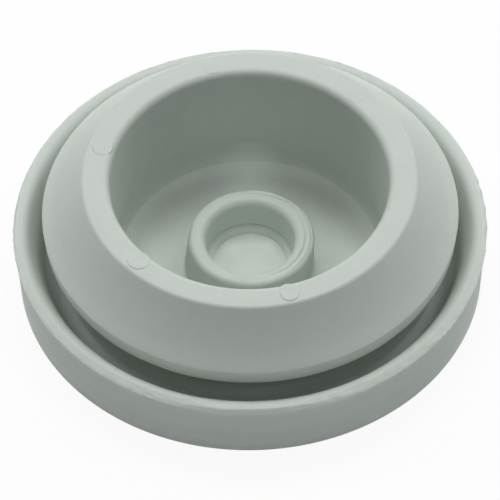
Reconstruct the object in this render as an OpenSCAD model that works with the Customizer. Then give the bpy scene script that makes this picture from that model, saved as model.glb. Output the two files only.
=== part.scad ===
// Push-in blanking grommet for a round panel hole.
// One soft moulding, lying on its outer face with the insertion cone up.
// The origin is the middle of the flat outer face and +Z runs up the axis.

/* [Flange] */
// Largest diameter, across the rounded rim
flange_d = 50; // [48:0.5:56]
// How far the outer wall draws in towards the outer face, on each side
wall_draft = 0.45; // [0:0.05:1.5]
// Height of the rim's crest above the outer face
rim_h = 7.05; // [6.4:0.05:8.2]
// Thickness of the rim near its crest
rim_t = 1.65; // [1.2:0.05:2]
// Height of the dish floor, under the groove
dish_z = 2.6; // [2:0.1:3.4]

/* [Panel groove] */
// Diameter of the panel hole that the neck fills
hole_d = 40.5; // [39:0.5:42]
// Play between the neck and the hole, on the diameter
neck_play = 0.3; // [0.1:0.1:0.8]
// How far the lip reaches past the hole, on each side
lip_reach = 1.65; // [1:0.05:1.9]

/* [Insertion cone] */
// Height of the flat top above the outer face
total_h = 14.8; // [13.5:0.1:17]
// Height of the lip's lower edge above the outer face
lip_z = 7.75; // [7:0.05:8.5]
// Height of the lip's upright edge
lip_edge = 1.75; // [1:0.05:2.2]
// Draft of the lip's upright edge, measured across
lip_draft = 0.16; // [0:0.02:0.4]
// Diameter where the cone would meet the flat top
cone_top_d = 35; // [33.5:0.5:37]

/* [Cup] */
// Diameter of the cup's wall just under its top edge
cup_d = 29.2; // [26:0.2:31]
// Draft of the cup's wall over its depth, on each side
cup_draft = 0.2; // [0:0.05:0.4]
// Thickness of the membrane that closes the cup
floor_t = 0.6; // [0.5:0.1:1.2]
// Rounding between the cup's wall and the membrane
floor_r = 2; // [1:0.1:2.6]
// Height of the mould's dividing line on the cup's wall
split_z = 4.2; // [3.9:0.1:6]
// Step at the dividing line
split_step = 0.06; // [0.02:0.01:0.1]

/* [Collar] */
// Diameter of the hole inside the collar
collar_bore = 9.3; // [7:0.1:10]
// Thickness of the collar's wall
collar_t = 2; // [1.6:0.05:2.4]
// Height of the collar's crest above the outer face
collar_h = 5.25; // [4.5:0.05:7.5]
// Draft of the collar's outer wall, measured across
collar_draft = 0.15; // [0:0.05:0.5]
// Height of the knock-out disc inside the collar
disc_z = 0.85; // [0.7:0.05:1.4]
// Width of the sloping band round the disc
band_w = 0.65; // [0.2:0.05:0.9]
// Height of the sloping band round the disc
band_h = 0.8; // [0.4:0.05:1]
// Depth of the cutting score above the band
score_d = 0.16; // [0.04:0.02:0.2]
// Width of the cutting score
score_w = 0.2; // [0.1:0.05:0.4]

/* [Pin marks] */
// How many pins pushed the grommet out of its mould
pins = 6; // [3:1:8]
// Diameter of the flat mark that each pin left
pin_d = 2.2; // [1.6:0.1:2.5]
// How far the marks sit inwards from the middle of the flat top
pin_in = 0.1; // [0:0.05:0.3]
// Height of the marks above the flat top
pin_rise = 0.05; // [0.02:0.01:0.1]
// Depth of the marks' nubs below the flat top
pin_depth = 0.4; // [0.2:0.05:0.6]
// Direction of the first mark
pin_turn = 44; // [0:1:60]

/* [Edges] */
// Rounding of the rim's crest towards the groove
rim_in_r = 0.5; // [0.2:0.05:0.55]
// Rounding of the rim's crest towards the outside
rim_out_r = 0.35; // [0.2:0.05:0.6]
// Rounding of the cup's top edge
cup_edge_r = 0.75; // [0.3:0.05:0.9]
// Rounding where the flat top turns into the cone
cone_edge_r = 0.5; // [0.3:0.05:0.8]
// Rounding at the foot of the rim, inside the dish
dish_r = 1.1; // [0.5:0.1:1.3]
// Rounding at the foot of the neck
neck_r = 0.4; // [0.2:0.05:0.6]
// Rounding on both sides of the collar's crest
collar_edge_r = 0.75; // [0.3:0.05:0.8]
// Rounding at the foot of the collar
collar_foot_r = 0.3; // [0.2:0.05:0.8]
// Rounding between the sloping band and the disc
band_r = 0.15; // [0.05:0.05:0.4]

/* [Hidden] */
$fn = 96;
arc_steps = 7;
flange_r = flange_d / 2;
face_r = flange_r - wall_draft;
neck_radius = (hole_d - neck_play) / 2;
lip_r = hole_d / 2 + lip_reach;
cone_top_r = cone_top_d / 2;
cup_r = cup_d / 2;
collar_in_r = collar_bore / 2;
collar_out_r = collar_in_r + collar_t;
// The rim's inner face leans outwards by this much from its foot to its crest
rim_lean = 0.4;
lip_top_z = lip_z + lip_edge;
pin_r = (cup_r + cone_top_r) / 2 - pin_in;

// Points of an arc about c, from angle a to angle b, both ends included.
function arc(c, r, a, b, n = arc_steps) =
    [for (i = [0 : n]) c + r * [cos(a + (b - a) * i / n), sin(a + (b - a) * i / n)]];

function unit(v) = v / norm(v);

// Rounds the corner p between the points before and after it with radius r.
function rounded(before, p, after, r, n = arc_steps) =
    let (
        u = unit(before - p),
        v = unit(after - p),
        half = acos(u * v) / 2,
        middle = p + unit(u + v) * r / sin(half),
        t0 = p + u * r / tan(half) - middle,
        t1 = p + v * r / tan(half) - middle,
        a = atan2(t0[1], t0[0]),
        turn = atan2(t1[1], t1[0]) - a,
        sweep = turn > 180 ? turn - 360 : turn < -180 ? turn + 360 : turn
    )
    arc(middle, r, a, a + sweep, n);

// Corners of the section, from the axis outwards: over the collar, along the
// membrane, up the cup, down the cone and the neck, and round the flange.
disc_edge = [collar_in_r - band_w, disc_z];
score_low = [collar_in_r, disc_z + band_h];
score_mid = [collar_in_r + score_d, score_low[1] + score_w / 2];
score_high = [collar_in_r, score_low[1] + score_w];
crest_z = collar_h - collar_edge_r;
crest_in = [collar_in_r + collar_edge_r, crest_z];
crest_out = [collar_out_r - collar_edge_r, crest_z];
collar_foot = [collar_out_r + collar_draft, floor_t];
cup_foot = [cup_r - cup_draft, floor_t];
split_low = [cup_r - cup_draft, split_z];
split_high = [cup_r - cup_draft + split_step, split_z];
cup_top = [cup_r, total_h];
cone_top = [cone_top_r, total_h];
lip_top = [lip_r, lip_top_z];
lip_low = [lip_r - lip_draft, lip_z];
neck_top = [neck_radius, lip_z];
neck_foot = [neck_radius, dish_z];
rim_foot = [flange_r - rim_t - rim_lean, dish_z];
rim_inside = [flange_r - rim_t, rim_h - rim_in_r];
rim_in_mid = rim_inside + [rim_in_r, 0];
rim_out_mid = [flange_r - rim_out_r, rim_h - rim_out_r];

section = concat(
    [[0, 0], [0, disc_z]],
    rounded([0, disc_z], disc_edge, score_low, band_r),
    [score_low, score_mid, score_high],
    arc(crest_in, collar_edge_r, 180, 90),
    arc(crest_out, collar_edge_r, 90, 0),
    rounded([collar_out_r, crest_z], collar_foot, cup_foot, collar_foot_r),
    rounded(collar_foot, cup_foot, split_low, floor_r),
    [split_low, split_high],
    rounded(split_high, cup_top, cone_top, cup_edge_r),
    rounded(cup_top, cone_top, lip_top, cone_edge_r),
    [lip_top, lip_low, neck_top],
    rounded(neck_top, neck_foot, rim_foot, neck_r),
    rounded(neck_foot, rim_foot, rim_inside, dish_r),
    arc(rim_in_mid, rim_in_r, 180, 90),
    arc(rim_out_mid, rim_out_r, 90, 0),
    [[face_r, 0]]
);

module pin_marks() {
    for (i = [0 : pins - 1])
        rotate(pin_turn + i * 360 / pins)
            translate([pin_r, 0, total_h - pin_depth])
                cylinder(d = pin_d, h = pin_depth + pin_rise, $fn = 48);
}

module grommet() {
    color([0.72, 0.75, 0.72])
        union() {
            rotate_extrude()
                polygon(section);
            pin_marks();
        }
}

grommet();
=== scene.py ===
# Blanking grommet: one lathed skin, the marks its mould left, and soft grey rubber under plain studio light.
import math
import bmesh
import bpy
from mathutils import Matrix, Vector, noise


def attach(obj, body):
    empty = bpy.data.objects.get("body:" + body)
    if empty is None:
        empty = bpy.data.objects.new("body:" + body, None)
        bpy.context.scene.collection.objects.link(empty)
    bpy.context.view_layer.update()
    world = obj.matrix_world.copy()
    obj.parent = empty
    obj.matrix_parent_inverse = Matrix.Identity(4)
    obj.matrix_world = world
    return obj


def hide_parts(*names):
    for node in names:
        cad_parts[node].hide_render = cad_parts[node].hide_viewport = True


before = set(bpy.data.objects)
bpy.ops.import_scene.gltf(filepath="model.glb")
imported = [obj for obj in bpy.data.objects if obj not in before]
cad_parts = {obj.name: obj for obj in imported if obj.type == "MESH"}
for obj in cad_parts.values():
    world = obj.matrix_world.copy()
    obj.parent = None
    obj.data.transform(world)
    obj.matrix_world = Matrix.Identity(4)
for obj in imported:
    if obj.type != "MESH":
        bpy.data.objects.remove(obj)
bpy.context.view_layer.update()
scene = bpy.context.scene
mm = 0.001
inMm = 1000.0            # the way back, for the shader nodes

# the camera looks down at the grommet through a long lens
viewSetup = {
    "elevation": 50.25,      # degrees above the bench
    "roll": -1.1,            # the view leans a little
    "distance": 530.9,       # mm from the point it aims at
    "lens": 360.0, "sensor": 36.0,      # mm
    "clip": (0.01, 20.0),    # m
    "aimHeight": 2.92,       # mm up the grommet's axis
    "aimSide": -0.035,
}


def makeCamera(setup):
    data = bpy.data.cameras.new("benchCamera")
    data.lens = setup["lens"]
    data.sensor_width = setup["sensor"]
    data.clip_start, data.clip_end = setup["clip"]
    cam = bpy.data.objects.new("benchCamera", data)
    scene.collection.objects.link(cam)
    tilt = math.radians(setup["elevation"])
    aim = Vector((setup["aimSide"], 0, setup["aimHeight"])) * mm
    away = Vector((0, -math.cos(tilt), math.sin(tilt)))
    cam.location = aim + away * setup["distance"] * mm
    turn = away.to_track_quat("Z", "Y").to_matrix()
    cam.rotation_euler = (turn @ Matrix.Rotation(math.radians(setup["roll"]), 3, "Z")).to_euler()
    scene.camera = cam
    print("camera placed")


makeCamera(viewSetup)

# sizes of the grommet's section, in mm, close to the solid's
skin = {
    "turns": 480,            # steps round the axis
    "flangeR": 25.0, "faceR": 24.55, "rimH": 7.15, "rimT": 2.10,
    # the rim's soft inner side: two roundings, the turn where they meet, and the lean of the slope below
    "rimIn": 1.5, "rimSlope": 4.0, "rimTurn": 50, "rimLean": 20,
    # the blunt outer edge of the rim's crest
    "bevelIn": 0.20, "bevelDown": 0.40, "bevelTopRound": 0.32, "bevelFootRound": 0.10,
    "wallHollow": 0.06, "wallRings": 9,
    "dishZ": 2.6, "neckR": 20.1, "lipR": 21.9, "lipDraft": 0.16, "lipZ": 7.75, "lipEdge": 1.75,
    "topZ": 14.8, "coneTopR": 17.5, "coneHollow": 0.22, "cupR": 14.6, "cupDraft": 0.2,
    "floorZ": 0.6, "floorRound": 2.0, "splitZ": 4.2, "splitStep": 0.04, "splitRise": 0.02,
    "collarR": 4.65, "boreLowR": 4.5, "collarT": 2.04, "collarH": 5.12, "collarDraft": 0.15,
    "collarIn": 0.88, "collarOut": 0.58, "collarFlare": 0.08,
    "discZ": 0.95, "discRings": 7, "bandW": 0.62, "bandH": 0.65,
    "scoreD": 0.20, "scoreW": 0.32, "scoreOver": 0.02,
    "cupEdge": 0.75, "coneEdge": 0.5, "dishRound": 1.1, "neckRound": 0.4,
    "collarFoot": 0.3, "bandRound": 0.12,
    "lipSoft": 0.06, "faceSoft": 0.05,      # how much a crisp moulded edge is really worn
    "faceMid": 12.0,         # one more ring on the flat face
}

# how far the soft moulding has settled out of true, in mm
settled = {
    "insertSide": 0.065,     # the cone and the cup's edge, to the right
    "boreForward": 0.12,     # the cup's edge, towards the front
    "collarSide": 0.115, "discSide": -0.14,
    "flatZ": 0.2, "flatIn": 0.1,        # the face on the bench keeps still below this, up to its edge
    "collarZone": 7.2, "insertZone": 22.4,      # radius up to which the collar's and the insert's moves act
    "crestFrom": 24.3, "crestWidth": 0.5, "crestLow": 6.3,      # where the rim's outer edge begins
    "edgeWander": 0.11, "tornHeading": -50, "tornReach": 95,
    "crestSunk": 0.20, "sunkReach": 95,
    "boreBulge": 0.12, "bulgeHeading": 140,     # the cup's edge is pulled out on one side
    "collarBulge": 0.06, "collarBulgeHeading": -25,     # the collar stands out on its right
    "collarTilt": 0.006,     # rise for each mm towards the back
    "waveSize": 0.022, "waveStep": 3.2,     # slow waviness of the free edges
    "rippleSize": 0.008, "rippleStep": 0.7,
    "frayHeading": 62, "frayReach": 62, "fraySize": 0.05, "frayStep": 0.42,    # the collar's ragged far edge
}

# turning marks left on the collar's crest: radius, drift towards the back, depth and width in mm,
# middle and reach in degrees
toolLines = [
    (5.80, 0.10, 0.120, 0.130, 8, 84),
    (6.12, 0.08, -0.060, 0.110, 10, 70),
    (6.34, 0.02, 0.060, 0.070, 20, 44),
    (5.56, 0.10, -0.035, 0.110, 14, 60),
    (5.40, 0.05, 0.035, 0.090, 95, 60),
    (6.02, -0.04, 0.055, 0.080, 100, 55),
]


def arcPoints(mid, radius, fromDeg, toDeg, steps):
    out = []
    for i in range(steps + 1):
        a = math.radians(fromDeg + (toDeg - fromDeg) * i / steps)
        out.append((mid[0] + radius * math.cos(a), mid[1] + radius * math.sin(a)))
    return out


def roundedCorner(before, corner, after, radius, steps):
    b, p, a = Vector(before), Vector(corner), Vector(after)
    u, v = (b - p).normalized(), (a - p).normalized()
    half = u.angle(v) / 2
    mid = p + (u + v).normalized() * radius / math.sin(half)
    t0 = p + u * radius / math.tan(half) - mid
    t1 = p + v * radius / math.tan(half) - mid
    a0 = math.atan2(t0.y, t0.x)
    sweep = math.atan2(t1.y, t1.x) - a0
    if sweep > math.pi:
        sweep -= 2 * math.pi
    if sweep < -math.pi:
        sweep += 2 * math.pi
    return arcPoints(mid, radius, math.degrees(a0), math.degrees(a0 + sweep), steps)


def spread(a, b, count):
    # extra points between two corners, ends left out
    return [(a[0] + (b[0] - a[0]) * i / (count + 1), a[1] + (b[1] - a[1]) * i / (count + 1))
            for i in range(1, count + 1)]


def skinSection(s):
    collarOut = s["collarR"] + s["collarT"]
    boreTop = s["collarR"] + s["collarFlare"]
    inR, outR = s["collarIn"], s["collarOut"]
    cupLow = s["cupR"] - s["cupDraft"]
    discEdge = (s["boreLowR"] - s["bandW"], s["discZ"])
    scoreLow = (s["boreLowR"], s["discZ"] + s["bandH"])
    scoreMid = (s["boreLowR"] + s["scoreD"], scoreLow[1] + s["scoreW"] / 2)
    scoreHigh = (s["boreLowR"] + s["scoreOver"], scoreLow[1] + s["scoreW"])
    crestIn = (boreTop + inR, s["collarH"] - inR)
    crestOut = (collarOut - outR, s["collarH"] - outR)
    collarSide = (collarOut, s["collarH"] - outR)
    collarFoot = (collarOut + s["collarDraft"], s["floorZ"])
    cupFoot = (cupLow, s["floorZ"])
    splitLow = (cupLow, s["splitZ"])
    splitHigh = (cupLow + s["splitStep"], s["splitZ"] + s["splitRise"])
    cupTop = (s["cupR"], s["topZ"])
    coneTop = (s["coneTopR"], s["topZ"])
    lipTop = (s["lipR"], s["lipZ"] + s["lipEdge"])
    lipLow = (s["lipR"] - s["lipDraft"], s["lipZ"])
    neckTop = (s["neckR"], s["lipZ"])
    neckFoot = (s["neckR"], s["dishZ"])
    rimInMid = (s["flangeR"] - s["rimT"] + s["rimIn"], s["rimH"] - s["rimIn"])
    bevelTop = (s["flangeR"] - s["bevelIn"], s["rimH"])
    # the crest's rounding runs on into a larger one, and that into the slope
    lean, turn = math.radians(s["rimLean"]), math.radians(90 + s["rimTurn"])
    slopeMid = (rimInMid[0] + (s["rimIn"] - s["rimSlope"]) * math.cos(turn),
                rimInMid[1] + (s["rimIn"] - s["rimSlope"]) * math.sin(turn))
    slopeTop = (slopeMid[0] - s["rimSlope"] * math.cos(lean), slopeMid[1] + s["rimSlope"] * math.sin(lean))
    rimFoot = (slopeTop[0] - (slopeTop[1] - s["dishZ"]) * math.tan(lean), s["dishZ"])
    bevelFoot = (s["flangeR"], s["rimH"] - s["bevelDown"])
    faceEdge = (s["faceR"], 0.0)
    discR = discEdge[0]
    pts = [(discR * k / s["discRings"], s["discZ"]) for k in range(s["discRings"])]
    pts += roundedCorner((0, s["discZ"]), discEdge, scoreLow, s["bandRound"], 6)
    pts += [scoreLow, scoreMid, scoreHigh]
    pts += spread(scoreHigh, (boreTop, crestIn[1]), 2)
    pts += arcPoints(crestIn, inR, 180, 90, 16)
    pts += spread((crestIn[0], s["collarH"]), (crestOut[0], s["collarH"]), 9)
    pts += arcPoints(crestOut, outR, 90, 0, 15)
    pts += spread(collarSide, collarFoot, 2)
    pts += roundedCorner(collarSide, collarFoot, cupFoot, s["collarFoot"], 5)
    pts += spread(collarFoot, cupFoot, 4)[1:]
    pts += roundedCorner(collarFoot, cupFoot, splitLow, s["floorRound"], 11)
    pts += [splitLow, splitHigh]
    pts += spread(splitHigh, cupTop, 4)
    pts += roundedCorner(splitHigh, cupTop, coneTop, s["cupEdge"], 10)
    pts += spread(cupTop, coneTop, 5)[1:-1]
    pts += roundedCorner(cupTop, coneTop, lipTop, s["coneEdge"], 8)
    # the cone is a little hollow between its two edges
    long = math.hypot(lipTop[0] - coneTop[0], lipTop[1] - coneTop[1])
    side = ((lipTop[1] - coneTop[1]) / long, -(lipTop[0] - coneTop[0]) / long)
    firstRing, ringStep = 0.06, 0.094       # as shares of the way down
    for k in range(1, 10):
        t = firstRing + ringStep * k
        dip = s["coneHollow"] * 4 * t * (1 - t)
        pts.append((coneTop[0] + (lipTop[0] - coneTop[0]) * t + side[0] * dip,
                    coneTop[1] + (lipTop[1] - coneTop[1]) * t + side[1] * dip))
    pts += roundedCorner(coneTop, lipTop, lipLow, s["lipSoft"], 3)
    pts += roundedCorner(lipTop, lipLow, neckTop, s["lipSoft"], 3)
    pts += [neckTop]
    pts += spread(neckTop, neckFoot, 2)
    pts += roundedCorner(neckTop, neckFoot, rimFoot, s["neckRound"], 5)
    pts += roundedCorner(neckFoot, rimFoot, slopeTop, s["dishRound"], 7)
    pts += spread(rimFoot, slopeTop, 4)[1:]
    pts += arcPoints(slopeMid, s["rimSlope"], 180 - s["rimLean"], 90 + s["rimTurn"], 5)
    pts += arcPoints(rimInMid, s["rimIn"], 90 + s["rimTurn"], 90, 9)[1:]
    pts += spread((rimInMid[0], s["rimH"]), bevelTop, 4)
    pts += roundedCorner((rimInMid[0], s["rimH"]), bevelTop, bevelFoot, s["bevelTopRound"], 6)
    pts += spread(bevelTop, bevelFoot, 3)
    pts += roundedCorner(bevelTop, bevelFoot, faceEdge, s["bevelFootRound"], 4)
    pts += [(r - s["wallHollow"] * math.sin(math.pi * (k + 1) / (s["wallRings"] + 1)), z)
            for k, (r, z) in enumerate(spread(bevelFoot, faceEdge, s["wallRings"]))]
    pts += roundedCorner(bevelFoot, faceEdge, (0, 0), s["faceSoft"], 4)
    pts += [(s["faceMid"], 0.0), (0.0, 0.0)]
    return pts


def ramp(v, low, high):
    t = min(1.0, max(0.0, (v - low) / (high - low)))
    return t * t * (3 - 2 * t)


def towards(a, heading):
    # 1 along the heading, which is in degrees, and 0 from a quarter turn away
    return max(0.0, math.cos(a - math.radians(heading)))


def degreesOff(a, heading):
    return abs((math.degrees(a) - heading + 180) % 360 - 180)


def settle(r, z, a):
    # moves one point of the true section to where it lies on the soft moulding, in mm
    x, y = r * math.cos(a), r * math.sin(a)
    if z < settled["flatZ"] and r < skin["faceR"] - settled["flatIn"]:
        return x, y, z
    if r < settled["collarZone"]:
        up = ramp(z, 1.0, skin["collarH"])
        top = settled["collarSide"] * ramp(r, 4.9, 6.0)
        x += settled["discSide"] * (1 - up) + top * up
        bulge = settled["collarBulge"] * towards(a, settled["collarBulgeHeading"]) ** 3
        bulge *= ramp(r, 4.7, 5.0) * up
        x, y = x * (1 + bulge / max(r, 1)), y * (1 + bulge / max(r, 1))
        z += settled["collarTilt"] * y * up
        fray = ramp(r, 5.9, 6.4) * ramp(z, 3.6, 4.4)
        if fray > 0:
            fray *= ramp(settled["frayReach"] - degreesOff(a, settled["frayHeading"]), 0, 25)
            bump = noise.noise(Vector((x, y, 5.0)) / settled["frayStep"]) * settled["fraySize"] * fray
            x, y, z = x * (1 + bump / r), y * (1 + bump / r), z + bump * 0.6
        if z > skin["collarH"] - 0.55:
            for lineR, drift, depth, width, middle, reach in toolLines:
                off = degreesOff(a, middle)
                if off < reach:
                    gap = (r - lineR - drift * math.sin(a)) / width
                    z -= depth * math.exp(-gap * gap) * ramp(reach - off, 0, reach * 0.35)
    elif r < settled["insertZone"]:
        hold = ramp(z, skin["floorZ"], skin["lipZ"])
        if z < skin["lipZ"] - 0.5 and r > skin["neckR"]:
            hold *= 1 - ramp(r, skin["neckR"], skin["neckR"] + 2)
        x += settled["insertSide"] * hold
        edge = ramp(z, 4, 13.5) * (1 - ramp(r, 15.2, 16.6))
        bulge = settled["boreBulge"] * towards(a, settled["bulgeHeading"]) ** 2 * edge
        x, y = x * (1 + bulge / r), y * (1 + bulge / r) - settled["boreForward"] * edge
    begin, low = settled["crestFrom"], settled["crestLow"]
    if r > begin and z > low:
        # the rim's outer edge wanders where the mould has worn, though hardly at the very front
        p = Vector((x, y, 2.0))
        front = degreesOff(a, -90)
        torn = ramp(settled["tornReach"] - degreesOff(a, settled["tornHeading"]), 0, 50)
        torn *= 1 - 0.7 * ramp(12 - front, 0, 8)
        wander = noise.noise(p / 1.1) + 0.7 * noise.noise(p / 0.45)
        wander *= settled["edgeWander"] * (0.2 + torn)
        wander *= ramp(r, begin, begin + settled["crestWidth"]) * ramp(z, low, low + 0.3)
        x, y, z = x * (1 + wander / r), y * (1 + wander / r), z + 0.5 * wander
        # on both sides of the front the crest has sunk towards that edge
        sunk = settled["crestSunk"] * ramp(front, 9, 20) * ramp(settled["sunkReach"] - front, 0, 20)
        foot = skin["rimH"] - skin["bevelDown"]
        z -= sunk * min(1.0, (r - begin) / settled["crestWidth"]) * max(0.0, (z - foot) / skin["bevelDown"])
    # free edges are never quite true: the lip and the rim, the cup's edge, and the collar
    free = max(ramp(z, 5, 7) * ramp(r, 19, 21.5), ramp(z, 11, 14) * 0.7,
               ramp(z, 3.5, 5) * (1 - ramp(r, 7, 8)) * 0.7)
    if free > 0:
        p = Vector((x, y, z))
        wave = noise.noise(p / settled["waveStep"]) * settled["waveSize"]
        wave += noise.noise(p / settled["rippleStep"]) * settled["rippleSize"]
        k = 1 + wave * free / max(r, 1)
        x, y = x * k, y * k
        z += wave * free * 0.4
    return x, y, z


def lathe(name, section, turns, place):
    # place says where a point of the section goes, from its radius, height and angle
    mesh = bpy.data.meshes.new(name)
    bm = bmesh.new()
    rings = []
    for r, z in section:
        if r < 1e-6:
            rings.append([bm.verts.new(Vector(place(0, z, 0)) * mm)])
            continue
        ring = []
        for k in range(turns):
            a = 2 * math.pi * k / turns
            ring.append(bm.verts.new(Vector(place(r, z, a)) * mm))
        rings.append(ring)
    for low, high in zip(rings, rings[1:]):
        for k in range(turns):
            n = (k + 1) % turns
            if len(low) == 1:
                bm.faces.new((low[0], high[k], high[n]))
            elif len(high) == 1:
                bm.faces.new((low[k], high[0], low[n]))
            else:
                bm.faces.new((low[k], high[k], high[n], low[n]))
    bmesh.ops.recalc_face_normals(bm, faces=bm.faces)
    bm.to_mesh(mesh)
    bm.free()
    mesh.shade_smooth()
    mesh.set_sharp_from_angle(angle=math.radians(32))
    piece = bpy.data.objects.new(name, mesh)
    scene.collection.objects.link(piece)
    return piece


grommetSkin = lathe("grommetSkin", skinSection(skin), skin["turns"], settle)
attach(grommetSkin, "root")
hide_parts("grommet")
print("skin lathed:", len(grommetSkin.data.polygons), "faces")

# round marks where the mould's pins pushed the grommet out, flat and a hair proud of the top
pinMarks = {
    "noseHalf": 0.42,        # half the width of the blunt end towards the axis
    "shoulder": 1.12, "shoulderAt": 0.66,       # and of the shoulders behind it, at this share of its reach
    "edge": 0.10, "edgeSteps": 6, "foot": 0.02, "flare": 0.01,
    "uneven": 0.010, "unevenRate": 1.3,
    "lean": 0.65,            # share of its height that a mark loses towards the cup
    "sunk": 0.75,            # how far the pin's end reaches down into the skin
    # heading in degrees, distance from the axis, height proud of the top, radius,
    # reach of the blunt end, its turn in degrees
    "marks": [(-76.1, 16.2, 0.075, 1.03, 1.28, -14), (-136.4, 15.98, 0.07, 1.18, 1.17, 0),
              (163.7, 16.02, 0.06, 1.10, 1.08, 0), (103.6, 16.05, 0.035, 1.03, 1.0, 0),
              (43.9, 16.05, 0.025, 1.03, 1.0, 0), (-16.0, 16.05, 0.008, 1.03, 1.0, 0)],
    "steps": 120,
}


def bluntReach(off, rad, nose, m):
    # distance from the mark's middle to its outline, off radians away from the blunt end
    if nose < rad:
        return min(rad, nose / max(0.05, math.cos(off)))
    outline = [(0.0, nose), (m["noseHalf"], nose), (m["shoulder"], nose * m["shoulderAt"]), (rad, 0.0)]
    for (u0, v0), (u1, v1) in zip(outline, outline[1:]):
        if math.atan2(u0, v0) <= off <= math.atan2(u1, v1):
            s, c = math.sin(off), math.cos(off)
            t = (v0 * s - u0 * c) / ((u1 - u0) * c - (v1 - v0) * s)
            return math.hypot(u0 + (u1 - u0) * t, v0 + (v1 - v0) * t)
    return rad


def makePinMark(name, heading, fromAxis, proud, rad, nose, turned, m):
    top = skin["topZ"] + proud
    low = skin["topZ"] - m["sunk"]
    edge = m["edge"]
    section = [(0.0, top), (rad * 0.5, top)]
    for k in range(m["edgeSteps"] + 1):
        t = math.pi / 2 * k / m["edgeSteps"]
        section.append((rad - edge + edge * math.sin(t), top - edge * (1 - math.cos(t))))
    section += [(rad, skin["topZ"] - m["foot"]), (rad + m["flare"], low), (0.0, low)]
    a = math.radians(heading)
    facing = a + math.pi + math.radians(turned)
    midX = fromAxis * math.cos(a) + settled["insertSide"]
    midY = fromAxis * math.sin(a)

    def place(r, z, turn):
        off = abs((turn - facing + math.pi) % (2 * math.pi) - math.pi)
        r *= bluntReach(off, rad, nose, m) / rad
        x, y = midX + r * math.cos(turn), midY + r * math.sin(turn)
        # the mark stands proud outwards and sinks level with the top towards the cup
        inward = 0.5 + 0.5 * math.cos(turn - a - math.pi) * min(1.0, r / rad)
        rough = m["uneven"] * noise.noise(Vector((x, y, 3.0)) * m["unevenRate"])
        return x, y, z - m["lean"] * proud * inward + rough

    return lathe(name, section, m["steps"], place)


markPieces = []
for index, numbers in enumerate(pinMarks["marks"]):
    mark = makePinMark("pinMark%d" % (index + 1), *numbers, pinMarks)
    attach(mark, "root")
    markPieces.append(mark)
print("pin marks:", len(markPieces))

# the thin, uneven flash where the two halves of the mould met, round the rim's outer edge
flash = {
    "height": 6.66,          # mm, middle of the line
    "half": 0.12,            # mm, half its height
    "reach": 0.035,          # mm, how far it stands out of the wall
    "uneven": 0.07, "drift": 0.05, "widen": 0.5,
    "bite": 0.01,            # mm, how deep its foot sits in the wall
    "wallLean": 0.075,       # mm that the wall draws in for each mm down
    "ragged": 0.10, "raggedHeading": -52, "raggedReach": 60,     # where it is torn most
    "grain": 0.45,           # mm between its bumps
    "steps": 1500,
}


def makeFlash(f):
    wallR = skin["flangeR"]
    foot = skin["rimH"] - skin["bevelDown"]
    section = [(-0.10, -f["half"] - 0.02), (0.0, -f["half"]), (0.7, -f["half"] * 0.35), (1.0, 0.0),
               (0.75, f["half"] * 0.4), (0.0, f["half"]), (-0.10, f["half"] + 0.02)]
    mesh = bpy.data.meshes.new("partingFlash")
    bm = bmesh.new()
    rings = []
    for out, up in section:
        ring = []
        for k in range(f["steps"]):
            a = 2 * math.pi * k / f["steps"]
            p = Vector((math.cos(a), math.sin(a), 0)) * wallR
            bump = noise.noise(p / f["grain"]) + 0.6 * noise.noise(p / (f["grain"] * 3) + Vector((7, 0, 0)))
            torn = f["ragged"] * ramp(f["raggedReach"] - degreesOff(a, f["raggedHeading"]), 0, 40)
            stand = max(-f["bite"], f["reach"] * 0.5 + (f["uneven"] + torn) * bump)
            drift = f["drift"] * noise.noise(p / 4 + Vector((0, 0, 9)))
            reach = stand * out if out >= 0 else out
            wide = 1 + f["widen"] * noise.noise(p / 1.1 + Vector((3, 0, 0)))
            z = f["height"] + up * wide + drift
            if z < foot:
                inward = (foot - z) * f["wallLean"]
            else:
                inward = (z - foot) * skin["bevelIn"] / skin["bevelDown"]
            r = wallR - f["bite"] - inward + reach
            ring.append(bm.verts.new(Vector((r * math.cos(a), r * math.sin(a), z)) * mm))
        rings.append(ring)
    for low, high in zip(rings, rings[1:] + rings[:1]):
        for k in range(f["steps"]):
            n = (k + 1) % f["steps"]
            bm.faces.new((low[k], high[k], high[n], low[n]))
    bmesh.ops.recalc_face_normals(bm, faces=bm.faces)
    bm.to_mesh(mesh)
    bm.free()
    mesh.shade_smooth()
    piece = bpy.data.objects.new("partingFlash", mesh)
    scene.collection.objects.link(piece)
    return piece


partingFlash = makeFlash(flash)
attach(partingFlash, "root")
print("flash made")

# the same rubber in two colours: the thick body, and a lighter copy for the thin skin in the cup, painted
# light for the light that gets through it
rubberLook = {
    "body": (0.525, 0.578, 0.532),
    "thinSkinLit": (0.62, 0.672, 0.625),
    # a lighter tone: painted light on the rings and patches, and the own colour of the pale nicks
    "pale": (0.86, 0.945, 0.87),
    # dirt on the specks, and painted shade on the rings under the rim's edge and in the groove
    "grimeAndShade": (0.27, 0.265, 0.225),
    "dustTone": (0.74, 0.76, 0.73),
    "ior": 1.45,
    "roughness": 0.62,
    "roughnessSpread": 0.10,
    "mottle": 0.035,         # how much the colour wanders
    "mottleSize": 2.4,       # mm
    "dust": 0.05,
    "grainSize": 0.16,       # mm
    "grainDepth": 0.0035,    # mm
    "waveSize": 1.7,         # mm
    "waveDepth": 0.010,      # mm
    "speckShare": 0.9,
}

# specks, nicks and crumbs: place in mm, radius, depth (below zero stands up), tone
specks = [
    (-14.73, -9.64, 14.75, 0.13, 0.03, "grimeAndShade"), (16.2, 4.6, 14.75, 0.10, 0.02, "grimeAndShade"),
    (9.6, -15.9, 12.9, 0.10, 0.03, "grimeAndShade"), (-9.2, 15.1, 14.8, 0.08, 0.02, "grimeAndShade"),
    (12.8, -21.0, 0.8, 0.30, -0.04, "pale"), (12.3, -21.35, 1.1, 0.16, -0.03, "pale"),
]
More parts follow.
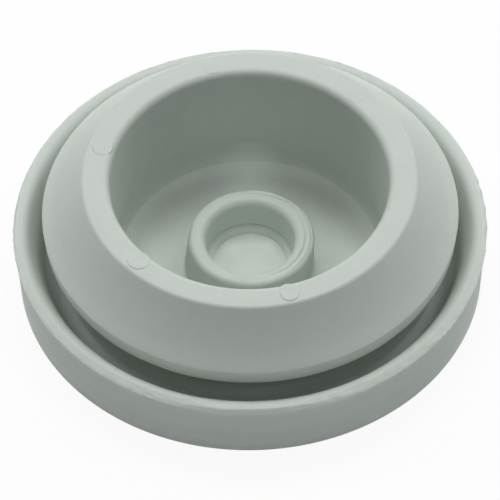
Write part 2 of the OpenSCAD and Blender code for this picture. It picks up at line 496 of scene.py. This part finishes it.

# rings of the body painted in a lighter tone, as painted light, and the last two in a darker one, as painted
# shade:
# radius, height and reach in mm, share, tone
rings = [
    (21.95, 9.3, 2.6, 0.12, "pale"),     # the lip's thin edge
    (24.10, 7.15, 1.0, 0.11, "pale"),    # the crest of the rim
    (24.90, 6.90, 0.55, 0.46, "pale"),   # and its blunt outer edge
    (24.55, 0.0, 2.6, 0.40, "pale"),     # the foot of the wall
    (22.60, 5.5, 1.6, 0.60, "pale"),     # the slope inside the rim
    (4.20, 1.3, 0.60, 0.42, "pale"),     # the sloping band round the disc
    (25.00, 5.3, 2.0, 0.10, "grimeAndShade"),    # the wall, under the blunt edge
    (20.10, 5.4, 2.1, 0.72, "grimeAndShade"),    # the neck, deep in the groove
]

# painted light on the thin skin of the disc and of the cup's floor, lighter where it lies in shade: place and
# reach in mm, share
discLightPatches = [(-2.3, 3.0, 0.95, 1.9, 0.9), (0.0, 3.8, 0.95, 2.2, 0.9), (2.3, 3.0, 0.95, 1.9, 0.9)]
floorLightPatches = [(0.0, 12.2, 0.7, 4.2, 0.65)]


def addSocket(group, name, kind, inOut, value=None):
    socket = group.interface.new_socket(name=name, in_out=inOut, socket_type=kind)
    if value is not None:
        socket.default_value = value


def mathNode(tree, kind, a, b=None, clamp=False):
    node = tree.nodes.new("ShaderNodeMath")
    node.operation = kind
    node.use_clamp = clamp
    for socket, value in zip(node.inputs, (a, b)):
        if value is None:
            continue
        if isinstance(value, (int, float)):
            socket.default_value = value
        else:
            tree.links.new(value, socket)
    return node.outputs[0]


def noiseNode(tree, spot, size, detail, seed):
    # size is in mm, the object's own coordinates are in metres
    shift = tree.nodes.new("ShaderNodeVectorMath")
    shift.operation = "ADD"
    shift.inputs[1].default_value = (seed, seed * 0.7, seed * 0.3)
    tree.links.new(spot, shift.inputs[0])
    node = tree.nodes.new("ShaderNodeTexNoise")
    node.inputs["Detail"].default_value = detail
    node.inputs["Roughness"].default_value = 0.55
    tree.links.new(shift.outputs[0], node.inputs["Vector"])
    if isinstance(size, (int, float)):
        node.inputs["Scale"].default_value = 1 / (size * mm)
    else:
        tree.links.new(mathNode(tree, "DIVIDE", inMm, size), node.inputs["Scale"])
    return node.outputs["Fac"]


def groupEnds(group):
    return group.nodes.new("NodeGroupInput"), group.nodes.new("NodeGroupOutput")


def makeMottleGroup():
    # the rubber's colour wanders a little, with faint pale dust on top of it
    group = bpy.data.node_groups.new("rubberMottle", "ShaderNodeTree")
    addSocket(group, "Colour", "NodeSocketColor", "INPUT", (0.5, 0.5, 0.5, 1))
    addSocket(group, "Amount", "NodeSocketFloat", "INPUT", 0.04)
    addSocket(group, "Patch Size", "NodeSocketFloat", "INPUT", 2.0)
    addSocket(group, "Dust", "NodeSocketFloat", "INPUT", 0.05)
    addSocket(group, "Colour", "NodeSocketColor", "OUTPUT")
    ins, outs = groupEnds(group)
    spot = group.nodes.new("ShaderNodeTexCoord").outputs["Object"]
    wide = noiseNode(group, spot, ins.outputs["Patch Size"], 3, 0.0)
    fine = noiseNode(group, spot, 0.5, 4, 0.013)
    swing = mathNode(group, "SUBTRACT", mathNode(group, "ADD", wide, fine), 1.0)
    amount = mathNode(group, "MULTIPLY", ins.outputs["Amount"], 2.0)
    level = mathNode(group, "ADD", 1.0, mathNode(group, "MULTIPLY", swing, amount))
    scaled = group.nodes.new("ShaderNodeVectorMath")
    scaled.operation = "SCALE"
    group.links.new(ins.outputs["Colour"], scaled.inputs[0])
    group.links.new(level, scaled.inputs["Scale"])
    speckle = noiseNode(group, spot, 0.22, 2, 0.031)
    dustFrom, dustContrast = 0.60, 6.0
    faint = mathNode(group, "SUBTRACT", speckle, dustFrom, True)
    high = mathNode(group, "MULTIPLY", faint, dustContrast, True)
    paleShare = mathNode(group, "MULTIPLY", high, ins.outputs["Dust"])
    mix = group.nodes.new("ShaderNodeMix")
    mix.data_type = "RGBA"
    mix.inputs["B"].default_value = (*rubberLook["dustTone"], 1)
    group.links.new(paleShare, mix.inputs["Factor"])
    group.links.new(scaled.outputs[0], mix.inputs["A"])
    group.links.new(mix.outputs["Result"], outs.inputs["Colour"])
    return group


def makeFinishGroup():
    # rubbed and dull places in the moulded finish
    group = bpy.data.node_groups.new("mouldedFinish", "ShaderNodeTree")
    addSocket(group, "Roughness", "NodeSocketFloat", "INPUT", 0.6)
    addSocket(group, "Spread", "NodeSocketFloat", "INPUT", 0.1)
    addSocket(group, "Roughness", "NodeSocketFloat", "OUTPUT")
    ins, outs = groupEnds(group)
    spot = group.nodes.new("ShaderNodeTexCoord").outputs["Object"]
    patch = noiseNode(group, spot, 1.4, 4, 0.05)
    reach = mathNode(group, "MULTIPLY", ins.outputs["Spread"], 2.0)
    swing = mathNode(group, "MULTIPLY", mathNode(group, "SUBTRACT", patch, 0.5), reach)
    group.links.new(mathNode(group, "ADD", ins.outputs["Roughness"], swing, True), outs.inputs["Roughness"])
    return group


def makeGrainGroup():
    # height in mm: fine grain from the mould's steel, and the slow unevenness of soft rubber
    group = bpy.data.node_groups.new("rubberGrain", "ShaderNodeTree")
    for name, value in (("Grain Size", 0.16), ("Grain Depth", 0.004),
                        ("Wave Size", 1.7), ("Wave Depth", 0.01)):
        addSocket(group, name, "NodeSocketFloat", "INPUT", value)
    addSocket(group, "Height", "NodeSocketFloat", "OUTPUT")
    ins, outs = groupEnds(group)
    spot = group.nodes.new("ShaderNodeTexCoord").outputs["Object"]
    fine = noiseNode(group, spot, ins.outputs["Grain Size"], 2, 0.07)
    slow = noiseNode(group, spot, ins.outputs["Wave Size"], 2, 0.09)
    height = mathNode(group, "ADD", mathNode(group, "MULTIPLY", fine, ins.outputs["Grain Depth"]),
                      mathNode(group, "MULTIPLY", slow, ins.outputs["Wave Depth"]))
    group.links.new(height, outs.inputs["Height"])
    return group


def makeSpeckGroup():
    # a soft round spot: 1 in the middle, 0 outside its radius
    group = bpy.data.node_groups.new("smallSpeck", "ShaderNodeTree")
    addSocket(group, "Place", "NodeSocketVector", "INPUT")
    addSocket(group, "Radius", "NodeSocketFloat", "INPUT", 0.1)
    addSocket(group, "Mask", "NodeSocketFloat", "OUTPUT")
    ins, outs = groupEnds(group)
    spot = group.nodes.new("ShaderNodeTexCoord").outputs["Object"]
    gap = group.nodes.new("ShaderNodeVectorMath")
    gap.operation = "DISTANCE"
    group.links.new(spot, gap.inputs[0])
    group.links.new(ins.outputs["Place"], gap.inputs[1])
    away = mathNode(group, "MULTIPLY", gap.outputs["Value"], inMm)
    share = mathNode(group, "DIVIDE", away, ins.outputs["Radius"])
    group.links.new(mathNode(group, "SUBTRACT", 1.0, share, True), outs.inputs["Mask"])
    return group


def makeRingGroup():
    # a soft ring round the axis: 1 along its middle, 0 outside its reach
    group = bpy.data.node_groups.new("edgeRing", "ShaderNodeTree")
    for name, value in (("Radius", 20.0), ("Height", 7.0), ("Reach", 1.0)):
        addSocket(group, name, "NodeSocketFloat", "INPUT", value)
    addSocket(group, "Mask", "NodeSocketFloat", "OUTPUT")
    ins, outs = groupEnds(group)
    split = group.nodes.new("ShaderNodeSeparateXYZ")
    group.links.new(group.nodes.new("ShaderNodeTexCoord").outputs["Object"], split.inputs[0])
    across = mathNode(group, "SQRT", mathNode(group, "ADD", mathNode(group, "POWER", split.outputs["X"], 2.0),
                                              mathNode(group, "POWER", split.outputs["Y"], 2.0)))
    sideways = mathNode(group, "SUBTRACT", mathNode(group, "MULTIPLY", across, inMm), ins.outputs["Radius"])
    level = mathNode(group, "MULTIPLY", split.outputs["Z"], inMm)
    upward = mathNode(group, "SUBTRACT", level, ins.outputs["Height"])
    gap = mathNode(group, "SQRT", mathNode(group, "ADD", mathNode(group, "MULTIPLY", sideways, sideways),
                                           mathNode(group, "MULTIPLY", upward, upward)))
    share = mathNode(group, "DIVIDE", gap, ins.outputs["Reach"])
    group.links.new(mathNode(group, "SUBTRACT", 1.0, share, True), outs.inputs["Mask"])
    return group


mottleGroup, finishGroup, grainGroup = makeMottleGroup(), makeFinishGroup(), makeGrainGroup()
speckGroup, ringGroup = makeSpeckGroup(), makeRingGroup()


def placeGroup(tree, group, **values):
    node = tree.nodes.new("ShaderNodeGroup")
    node.node_tree = group
    for name, value in values.items():
        node.inputs[name.replace("_", " ")].default_value = value
    return node


def tinted(tree, tone, mask, share, colour):
    # the tone, moved towards another colour where the mask is
    mix = tree.nodes.new("ShaderNodeMix")
    mix.data_type = "RGBA"
    mix.inputs["B"].default_value = (*colour, 1)
    tree.links.new(mathNode(tree, "MULTIPLY", mask, share), mix.inputs["Factor"])
    tree.links.new(tone, mix.inputs["A"])
    return mix.outputs["Result"]


def makeRubber(name, colour, look, rings=(), patches=(), marks=()):
    mat = bpy.data.materials.new(name)
    mat.use_nodes = True
    tree = mat.node_tree
    shader = tree.nodes["Principled BSDF"]
    shader.inputs["IOR"].default_value = look["ior"]
    mottle = placeGroup(tree, mottleGroup, Colour=(*colour, 1), Amount=look["mottle"],
                        Patch_Size=look["mottleSize"], Dust=look["dust"])
    finish = placeGroup(tree, finishGroup, Roughness=look["roughness"], Spread=look["roughnessSpread"])
    grain = placeGroup(tree, grainGroup, Grain_Size=look["grainSize"], Grain_Depth=look["grainDepth"],
                       Wave_Size=look["waveSize"], Wave_Depth=look["waveDepth"])
    tone, height = mottle.outputs["Colour"], grain.outputs["Height"]
    # painted light and painted shade in rings round the axis
    for radius, level, reach, share, kind in rings:
        ring = placeGroup(tree, ringGroup, Radius=radius, Height=level, Reach=reach)
        tone = tinted(tree, tone, ring.outputs["Mask"], share, look[kind])
    # pale patches of painted light
    for x, y, z, reach, share in patches:
        patch = placeGroup(tree, speckGroup, Place=(x * mm, y * mm, z * mm), Radius=reach)
        tone = tinted(tree, tone, patch.outputs["Mask"], share, look["pale"])
    for x, y, z, radius, depth, kind in marks:
        spot = placeGroup(tree, speckGroup, Place=(x * mm, y * mm, z * mm), Radius=radius)
        height = mathNode(tree, "SUBTRACT", height, mathNode(tree, "MULTIPLY", spot.outputs["Mask"], depth))
        tone = tinted(tree, tone, spot.outputs["Mask"], look["speckShare"], look[kind])
    bump = tree.nodes.new("ShaderNodeBump")
    bump.inputs["Strength"].default_value = 1.0
    bump.inputs["Distance"].default_value = mm
    tree.links.new(height, bump.inputs["Height"])
    tree.links.new(bump.outputs["Normal"], shader.inputs["Normal"])
    tree.links.new(tone, shader.inputs["Base Color"])
    tree.links.new(finish.outputs["Roughness"], shader.inputs["Roughness"])
    return mat


greyRubber = makeRubber("greyRubber", rubberLook["body"], rubberLook, rings, floorLightPatches, specks)
litThinRubber = makeRubber("litThinRubber", rubberLook["thinSkinLit"], rubberLook, (), discLightPatches + floorLightPatches)
grommetSkin.data.materials.append(greyRubber)
grommetSkin.data.materials.append(litThinRubber)
# the thin disc and the cup's floor take the lighter copy, painted light
for face in grommetSkin.data.polygons:
    mid = face.center / mm
    out = math.hypot(mid.x, mid.y)
    inDisc = out < skin["boreLowR"] - skin["bandW"] + 0.03 and 0.5 < mid.z < skin["discZ"] + 0.4
    inFloor = (skin["collarR"] + skin["collarT"] < out < skin["cupR"] - 0.7
               and 0.3 < mid.z < skin["floorZ"] + 0.7)
    face.material_index = 1 if inDisc or inFloor else 0
for piece in markPieces + [partingFlash]:
    piece.data.materials.append(greyRubber)
print("rubber made")

# one broad overhead source, more behind than in front, and pale surroundings
light = {
    "worldLevel": 0.06,
    "lampDistance": 0.6,     # m, every lamp aims at the grommet
    # name: (watts, size, degrees away from straight up, heading; 0 is behind, 90 is right)
    "lamps": {
        "mainSoftbox": (1.40, 0.25, 25, 0),
        "rightSoftbox": (0.27, 0.25, 25, 90),
        "leftSoftbox": (0.22, 0.25, 25, -90),
        "backRight": (0.71, 0.25, 50, 45),
        "backLeft": (0.79, 0.25, 50, -45),
        "frontRight": (0.40, 0.25, 50, 135),
        "frontLeft": (0.35, 0.25, 50, -135),
        "lowBack": (0.22, 0.25, 72, 0),
        "lowBackRight": (0.41, 0.25, 72, 45),
        "lowBackLeft": (0.31, 0.25, 72, -45),
    },
    "floorSize": 1.5,        # m
    "floorDrop": 0.00002,    # m, so that the floor and the face on it don't share a plane
    "floorColour": 0.84,
    "floorRoughness": 0.9,
    "floorWhite": 0.92,      # share of plain white that the camera sees in the floor
}


def makeFloor(setup):
    mesh = bpy.data.meshes.new("benchFloor")
    bm = bmesh.new()
    bmesh.ops.create_grid(bm, x_segments=2, y_segments=2, size=setup["floorSize"])
    bm.to_mesh(mesh)
    bm.free()
    floor = bpy.data.objects.new("benchFloor", mesh)
    scene.collection.objects.link(floor)
    floor.location.z = -setup["floorDrop"]
    mat = bpy.data.materials.new("paleFloor")
    mat.use_nodes = True
    tree = mat.node_tree
    shader = tree.nodes["Principled BSDF"]
    tone = setup["floorColour"]
    shader.inputs["Base Color"].default_value = (tone, tone, tone, 1)
    shader.inputs["Roughness"].default_value = setup["floorRoughness"]
    # seen directly or in a reflection the floor is nearly white, with the soft shadow left in it
    white = tree.nodes.new("ShaderNodeEmission")
    path = tree.nodes.new("ShaderNodeLightPath")
    seen = mathNode(tree, "MAXIMUM", path.outputs["Is Camera Ray"], path.outputs["Is Glossy Ray"])
    seen = mathNode(tree, "MAXIMUM", seen, path.outputs["Is Transmission Ray"])
    mix = tree.nodes.new("ShaderNodeMixShader")
    tree.links.new(mathNode(tree, "MULTIPLY", seen, setup["floorWhite"]), mix.inputs[0])
    tree.links.new(shader.outputs[0], mix.inputs[1])
    tree.links.new(white.outputs[0], mix.inputs[2])
    tree.links.new(mix.outputs[0], tree.nodes["Material Output"].inputs["Surface"])
    mesh.materials.append(mat)


def makeWorld(level):
    world = bpy.data.worlds.new("paleStudio")
    scene.world = world
    world.use_nodes = True
    back = world.node_tree.nodes["Background"]
    back.inputs["Color"].default_value = (1, 1, 1, 1)
    back.inputs["Strength"].default_value = level


def makeLamp(name, watts, size, tilt, heading, distance):
    data = bpy.data.lights.new(name, "AREA")
    data.energy = watts
    data.size = size
    lamp = bpy.data.objects.new(name, data)
    scene.collection.objects.link(lamp)
    t, h = math.radians(tilt), math.radians(heading)
    lamp.location = Vector((math.sin(t) * math.sin(h), math.sin(t) * math.cos(h), math.cos(t))) * distance
    lamp.rotation_euler = lamp.location.to_track_quat("Z", "Y").to_euler()


makeFloor(light)
makeWorld(light["worldLevel"])
for lampName, (watts, size, tilt, heading) in light["lamps"].items():
    makeLamp(lampName, watts, size, tilt, heading, light["lampDistance"])
scene.view_settings.view_transform = "Standard"
print("light set")
